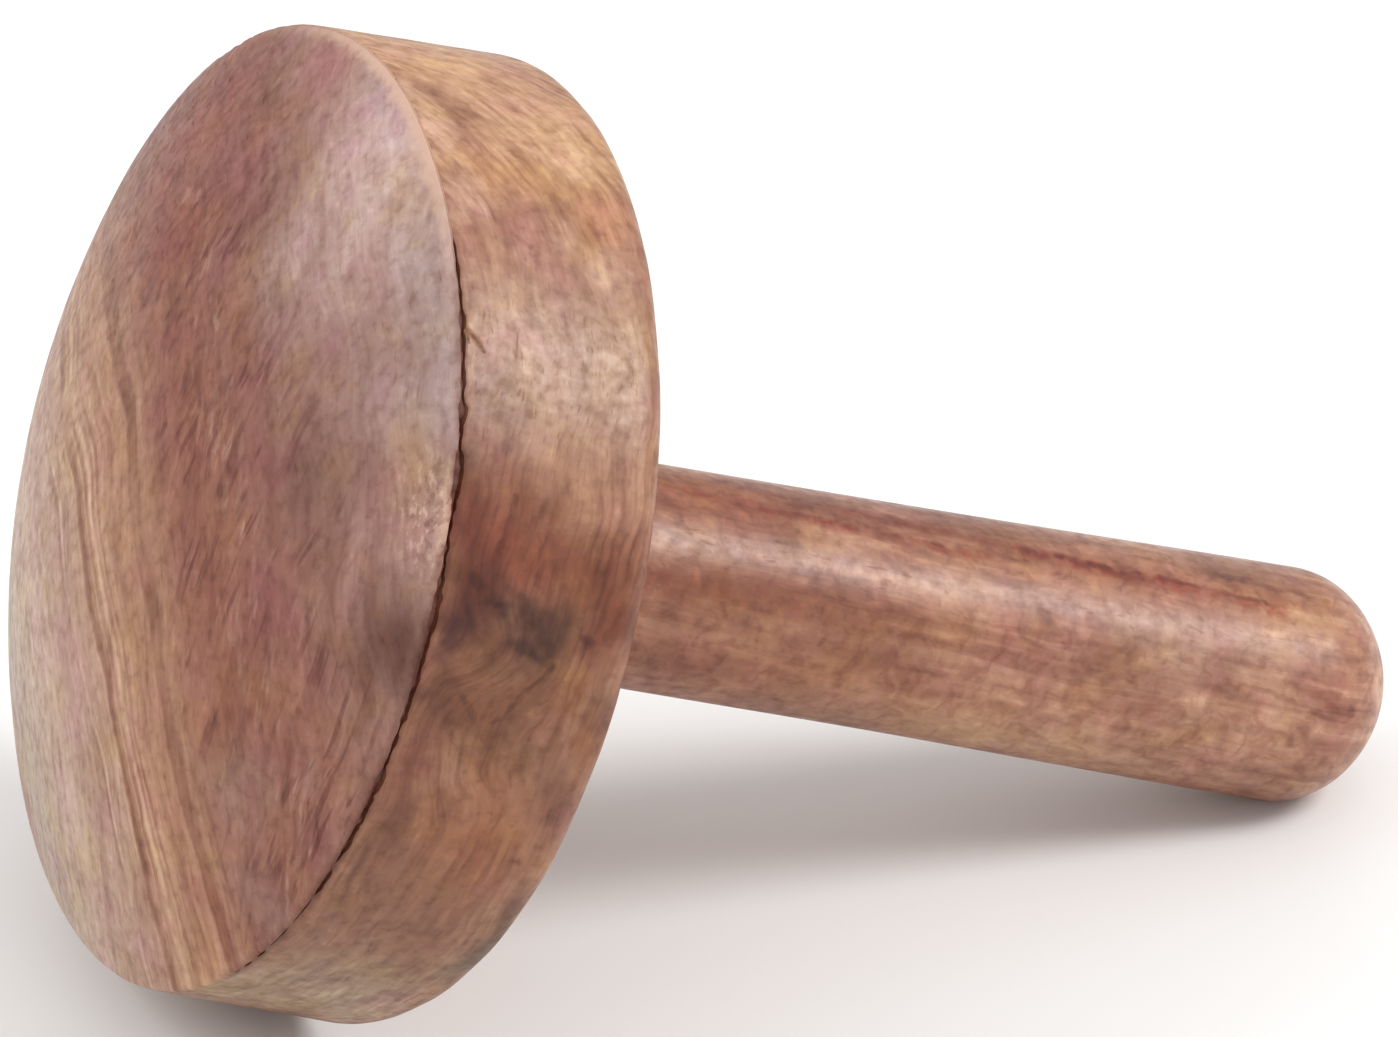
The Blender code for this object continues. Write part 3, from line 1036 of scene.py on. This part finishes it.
RIM_MARKS = (
    # start turn and height, end turn and height, half width in millimetres, strength, tint
    (30.4, 8.7, 22.5, 7, 0.45, 0.65, DARK),
    (29.4, 12.5, 21.1, 13.1, 0.4, 0.45, DARK),
    (31, 10.3, 23, 8.8, 0.35, 0.4, PALE),
    (20.5, 4.4, 17.5, 9.6, 0.85, 0.65, DARK),
    (19, 11.5, 13.5, 17.5, 0.9, 0.5, DARK),
    (14, 12, 13.1, 14.6, 1, 0.45, DARK),
    (13.1, 14.6, 11.6, 18.2, 0.55, 0.55, DARK),
    (11.7, 18.3, 3.8, 12.3, 0.45, 0.7, DARK),
    (11.2, 19.6, 4.6, 15.8, 0.4, 0.6, PALE),
    (10, 20.4, 3, 18, 0.4, 0.5, DARK),
    (14.4, 6.8, 11.2, 13.9, 0.4, 0.35, PALE),
    (6.5, 7, 1, 13, 0.5, 0.5, DARK),
    (3.5, 5.5, -2.5, 11, 0.45, 0.45, DARK),
    (18.3, 7.2, 17.7, 8.8, 0.75, 0.6, DARK),
    (16, 21.3, 15.2, 22.2, 0.75, 0.75, (0.42, 0.2, 0.17)),
    (15.8, 21.7, 15.6, 21.9, 0.25, 0.9, PALE),
    (26, 24, 16, 25.8, 0.4, 0.5, DARK),
    (32.6, 10.4, 32.4, 10.9, 0.4, 0.7, PALE),
    (-13.3, 23.2, -13.8, 23.8, 0.5, 0.8, DARK),
    (-20.5, 23.4, -21, 23.9, 0.6, 0.5, (0.6, 0.38, 0.42)),
    (62.8, 9.6, 61.8, 11, 0.5, 0.6, (0.55, 0.42, 0.38)),
    (64, 13.6, 63, 15.4, 0.4, 0.5, (0.6, 0.45, 0.4)),
)


def backing_wood():
    """The rear board: streaks around the near side, golden wood at the top, dark figure in between."""
    nodes = Nodes("backing_wood_grain")
    place = nodes.place()
    bent = nodes.warp(nodes.warp(place, 26 * MM, 3.0 * MM), 6 * MM, 0.7 * MM)
    x, y, z = nodes.split(bent)
    # rings about a heart that lies along the grain, in front of the near side
    rings = nodes.length(nodes.join(x * 0.16, y + 45 * MM, z + 50 * MM))
    for turn, height, reach, swing in RIM_KNOTS:
        rings += nodes.near(bent, rim_place(turn, height * MM), reach * MM) * (swing * MM)
    colour = nodes.ramp(nodes.noise(nodes.join(rings / (9 * MM), x / (60 * MM), 0)), (
        (0.25, (0.19, 0.062, 0.030)),
        (0.45, (0.28, 0.118, 0.063)),
        (0.60, (0.36, 0.18, 0.108)),
        (0.80, (0.43, 0.24, 0.15)),
    ))
    patches = side_patches(RIM_PATCHES, rim_place)
    colour = nodes.patches(colour, nodes.warp(bent, 7 * MM, 3.6 * MM, detail=3), patches)
    figured = nodes.span(nodes.noise(bent, 10 * MM, detail=2), 0.35, 0.65)
    plain = nodes.near(place, rim_place(50, 15 * MM), 26 * MM)
    figured *= nodes.span(plain, 0.0, 1.0, 1.0, 0.25)
    bands = ((3.6 * MM, 8.7, 0.42), (1.5 * MM, 10.6, 0.36))
    tints = ((0.2, 1.0, (0.60, 0.46, 0.40)),)
    colour = growth_bands(nodes, colour, rings, nodes.noise(bent, 14 * MM), figured, bands, tints)
    for size, strength in ((11 * MM, 0.22), (4.5 * MM, 0.30)):
        mottle = nodes.noise(nodes.vector("ADD", place, (0, 0, size * 9)), size, detail=2.5, rough=0.5)
        colour = nodes.tints(colour, (
            (mottle, 0.50, 0.68, strength, (0.55, 0.38, 0.32)),
            (mottle, 0.48, 0.30, strength, (1.25, 1.36, 1.34)),
        ))
    along = nodes.vector("DIVIDE", place, (7 * MM, 4 * MM, 4 * MM))
    colour, texture = wood_detail(nodes, place, rings, along, colour, 0.80, 0.16)
    colour = grain_marks(nodes, place, colour, RIM_MARKS, rim_place)
    colour = crack_shade(nodes, place, colour)
    colour = joint_shade(nodes, place, colour)
    return wood_surface(nodes, colour, texture)


def distance_to_line(nodes, place, start, end):
    """How far a place is from a straight line between two points."""
    run = Vector(end) - Vector(start)
    offset = nodes.vector("SUBTRACT", place, start)
    reached = nodes.vector("DOT_PRODUCT", offset, tuple(run), output=1)
    share = nodes.math("DIVIDE", reached, run.length_squared, clamp=True)
    return nodes.length(nodes.vector("SUBTRACT", offset, nodes.scaled(tuple(run), share)))


def grain_marks(nodes, place, colour, marks, surface):
    """Single streaks, pin knots and pale fibres in the grain."""
    bent = nodes.warp(nodes.warp(place, 4 * MM, 0.9 * MM), 1.3 * MM, 0.35 * MM, detail=3)
    broken = nodes.span(nodes.noise(place, 3.2 * MM, detail=2), 0.36, 0.58, 0.30, 1.0)
    for turn_a, height_a, turn_b, height_b, half, strength, tint in marks:
        away = distance_to_line(nodes, bent, surface(turn_a, height_a * MM), surface(turn_b, height_b * MM))
        share = nodes.span(away, 1.5 * half * MM, 0.4 * half * MM, 0.0, strength)
        colour = nodes.tint(colour, share * broken, tint)
    return colour


def crack_shade(nodes, place, colour):
    """Painted shade down in the drying cracks."""
    for turn_a, height_a, turn_b, height_b, half, _ in cracks():
        away = distance_to_line(nodes, place, rim_place(turn_a, height_a), rim_place(turn_b, height_b))
        colour = nodes.tint(colour, nodes.span(away, 1.6 * half, 0.6 * half, 0.0, 0.75), (0.30, 0.17, 0.13))
    return colour


HANDLE_PATCHES = (
    # turn, height in millimetres, reach around and along in millimetres, colour in percent, strength
    (84, 60, 8, 40, (31, 10, 4.5), 0.7),
    (72, 125, 7, 40, (30, 10, 5.5), 0.7),
    (20, 64, 8, 34, (21, 6, 2.5), 0.7),
    (22, 125, 7, 22, (26, 12, 8), 0.5),
    (-20, 80, 10, 50, (34, 14, 6.5), 0.6),
    (-160, 90, 14, 50, (34, 16, 10), 0.6),
    (15, 35, 15, 9, (15, 4, 1.5), 0.65),
    (5, 88, 6, 17, (20, 6, 2.5), 0.75),
    # painted highlight: a broader, paler stretch of the highlight band
    (32, 138, 7, 24, (46, 28, 19), 0.5),
    (0, 148, 11, 12, (53, 29, 18), 0.6),
    # painted light: the underside paler where light reflected from the floor falls on it
    (-35, 112, 9, 46, (46, 26, 14), 0.5),
    (86, 79, 6, 13, (18, 5, 2), 0.85),
    (86, 143, 6, 14, (21, 8, 4.5), 0.7),
    # painted highlight: paler in the highlight band
    (60, 80, 6, 9, (54, 30, 19), 0.5),
    (91, 104, 7, 18, (20, 6, 2), 0.75),
    (92, 64, 7, 16, (26, 8.5, 2.5), 0.7),
    (0, 137, 7, 8, (56, 33, 20), 0.5),
    (-5, 37, 9, 6, (13, 3, 0.5), 0.6),
)
RED = (0.76, 0.36, 0.29)
HANDLE_MARKS = (
    # start turn and height, end turn and height, half width in millimetres, strength, tint
    (84, 44, 70, 84, 1.1, 0.75, RED),
    (78, 60, 66, 104, 1, 0.75, RED),
    (86, 84, 68, 130, 1.2, 0.8, RED),
    (74, 110, 62, 148, 1.1, 0.75, RED),
    (76, 66, 70, 88, 0.55, 0.95, DARK),
    (74, 84, 66, 112, 0.6, 0.9, DARK),
    (82, 96, 70, 126, 0.6, 0.8, DARK),
    (74, 120, 66, 146, 0.5, 0.75, DARK),
    (86, 128, 74, 156, 0.6, 0.55, DARK),
    (30, 34, 26, 56, 0.9, 0.5, RED),
    (24, 34, 17, 60, 0.8, 0.4, RED),
    (17, 70, 15, 95, 0.8, 0.35, DARK),
    (18.5, 114, 14, 126.5, 0.4, 0.85, DARK),
    (16.5, 114, 12.5, 125, 0.3, 0.5, PALE),
    (20.5, 117, 18, 123, 0.25, 0.6, DARK),
    (31, 143, 22, 163, 0.5, 0.5, PALE),
    (27, 149, 15, 162, 0.9, 0.55, DARK),
    (21, 143, 9, 160, 0.4, 0.45, DARK),
)


def handle_wood():
    """The handle: plain reddish wood with long, slightly slanting streaks and flecks, and some patches of
    painted highlight and painted light from the floor.
    """
    nodes = Nodes("handle_wood_grain")
    place = nodes.place()
    slow = nodes.vector("MULTIPLY", place, (1.0, 1.0, 0.25))
    drift = nodes.vector("SUBTRACT", nodes.noise(slow, 8 * MM, detail=2.5, output=1), (0.5, 0.5, 0.5))
    bent = nodes.vector("ADD", place, nodes.scaled(drift, 4.2 * MM))
    x, y, z = nodes.split(bent)
    rings = nodes.length(nodes.join(x - 26 * MM, y + 18 * MM, 0)) + z * 0.045
    long_grain = nodes.join(rings / (3.0 * MM), y / (12 * MM), z / (55 * MM))
    colour = nodes.ramp(nodes.noise(long_grain, detail=4, rough=0.6), (
        (0.28, (0.19, 0.052, 0.027)),
        (0.43, (0.32, 0.132, 0.076)),
        (0.56, (0.41, 0.195, 0.115)),
        (0.73, (0.51, 0.29, 0.185)),
    ))
    colour = nodes.patches(colour, bent, side_patches(HANDLE_PATCHES, grip_place))
    along = nodes.vector("DIVIDE", place, (2.2 * MM, 2.2 * MM, 6 * MM))
    colour, texture = wood_detail(nodes, place, rings, along, colour, 0.85, 0.12)
    curl = nodes.noise(nodes.warp(place, 6 * MM, 2.4 * MM), 3.0 * MM, detail=1.5, distort=0.7)
    colour = nodes.tints(colour, (
        (curl, 0.50, 0.66, 0.50, (0.66, 0.44, 0.38)),
        (curl, 0.47, 0.34, 0.40, (1.22, 1.34, 1.38)),
    ))
    colour = grain_marks(nodes, place, colour, HANDLE_MARKS, grip_place)
    return wood_surface(nodes, colour, texture, smoothness=0.38, coat=0.28)


def wedge_wood():
    """The wedge: straight-grained wood, sawn and left rough."""
    nodes = Nodes("wedge_wood_grain")
    grain = nodes.vector("DIVIDE", nodes.place(), (MM, MM, 8 * MM))
    fibres = nodes.noise(grain, detail=4)
    colour = nodes.ramp(fibres, ((0.3, (0.22, 0.105, 0.07)), (0.7, (0.40, 0.23, 0.15))))
    return nodes.surface(colour, nodes.span(fibres, 0.3, 0.7, 0.5, 0.68), [(fibres, 0.3, 0.2 * MM)])


def glue_and_gap_shade():
    """Half-glossy glue with dust and wood powder in it; its very dark colour is partly painted shade of the
    open gap.
    """
    nodes = Nodes("glue_film_and_gap_shade")
    dust = nodes.noise(nodes.place(), 0.6 * MM, detail=4, rough=0.7)
    colour = nodes.ramp(dust, (
        (0.3, (0.060, 0.014, 0.009)),
        (0.55, (0.12, 0.028, 0.017)),
        (0.8, (0.20, 0.070, 0.045)),
    ))
    return nodes.surface(colour, nodes.span(dust, 0.3, 0.7, 0.5, 0.8), [(dust, 0.4, 0.2 * MM)])


# ---------------- floor, light and camera

FLOOR_SIZE = 6.0
FLOOR_COLOUR = (0.90, 0.90, 0.89)
PALEST_FLOOR_COLOUR = (0.91, 0.91, 0.90)
WORLD_STRENGTH = 0.72


def make_floor():
    """A plain pale floor, a hair under the mallet."""
    mesh = bmesh.new()
    bmesh.ops.create_grid(mesh, x_segments=1, y_segments=1, size=FLOOR_SIZE / 2)
    data = bpy.data.meshes.new("floor")
    mesh.to_mesh(data)
    mesh.free()
    floor = bpy.data.objects.new("floor", data)
    floor.location.z = CAD_LOW[2] - 0.05 * MM
    bpy.context.scene.collection.objects.link(floor)
    nodes = Nodes("pale_floor")
    faint = nodes.noise(nodes.place(), 50 * MM, detail=2)
    colour = nodes.ramp(faint, ((0.3, FLOOR_COLOUR), (0.7, PALEST_FLOOR_COLOUR)))
    nodes.feed(nodes.shader.inputs["Base Color"], colour)
    nodes.shader.inputs["Roughness"].default_value = 0.9
    floor.data.materials.append(nodes.material)


def softbox(name, direction, distance, size, power):
    """A square white lamp that faces the middle of the mallet from a direction."""
    middle = (CAD_LOW + CAD_HIGH) / 2
    lamp = bpy.data.lights.new(name, "AREA")
    lamp.size = size
    lamp.energy = power
    obj = bpy.data.objects.new(name, lamp)
    way = Vector(direction).normalized()
    obj.location = middle + way * distance
    obj.rotation_euler = way.to_track_quat("Z", "Y").to_euler()
    bpy.context.scene.collection.objects.link(obj)


def make_lights():
    """A white room, a key light over the handle's side and a softer one over the face's side."""
    world = bpy.data.worlds.new("white_room")
    world.use_nodes = True
    background = world.node_tree.nodes["Background"]
    background.inputs["Color"].default_value = (1.0, 1.0, 1.0, 1.0)
    background.inputs["Strength"].default_value = WORLD_STRENGTH
    bpy.context.scene.world = world
    softbox("key_softbox", (0.70, -0.40, 0.76), distance=1.3, size=0.5, power=10.0)
    softbox("face_softbox", (-0.80, 0.15, 0.60), distance=1.5, size=0.8, power=9.0)


def make_camera():
    """The camera, at the height and side that the mallet is seen from."""
    data = bpy.data.cameras.new("camera")
    data.lens = CAMERA_LENS
    data.sensor_width = 36.0
    data.clip_start = 0.1
    data.clip_end = 20.0
    camera = bpy.data.objects.new("camera", data)
    bpy.context.scene.collection.objects.link(camera)
    flat = Vector((math.sin(CAMERA_AZIMUTH), -math.cos(CAMERA_AZIMUTH), 0.0))
    back = flat * math.cos(CAMERA_ELEVATION) + Vector((0, 0, math.sin(CAMERA_ELEVATION)))
    turn = back.to_track_quat("Z", "Y") @ Quaternion((0.0, 0.0, 1.0), CAMERA_ROLL)
    aim = turn @ Vector((CAMERA_AIM_RIGHT, CAMERA_AIM_UP, 0.0))
    camera.location = (CAD_LOW + CAD_HIGH) / 2 + aim + back * CAMERA_DISTANCE
    camera.rotation_euler = turn.to_euler()
    bpy.context.scene.camera = camera
    bpy.context.scene.view_settings.view_transform = "Standard"


make_face()
make_backing()
make_glue()
make_handle()
finish_wedge()
make_floor()
make_lights()
make_camera()
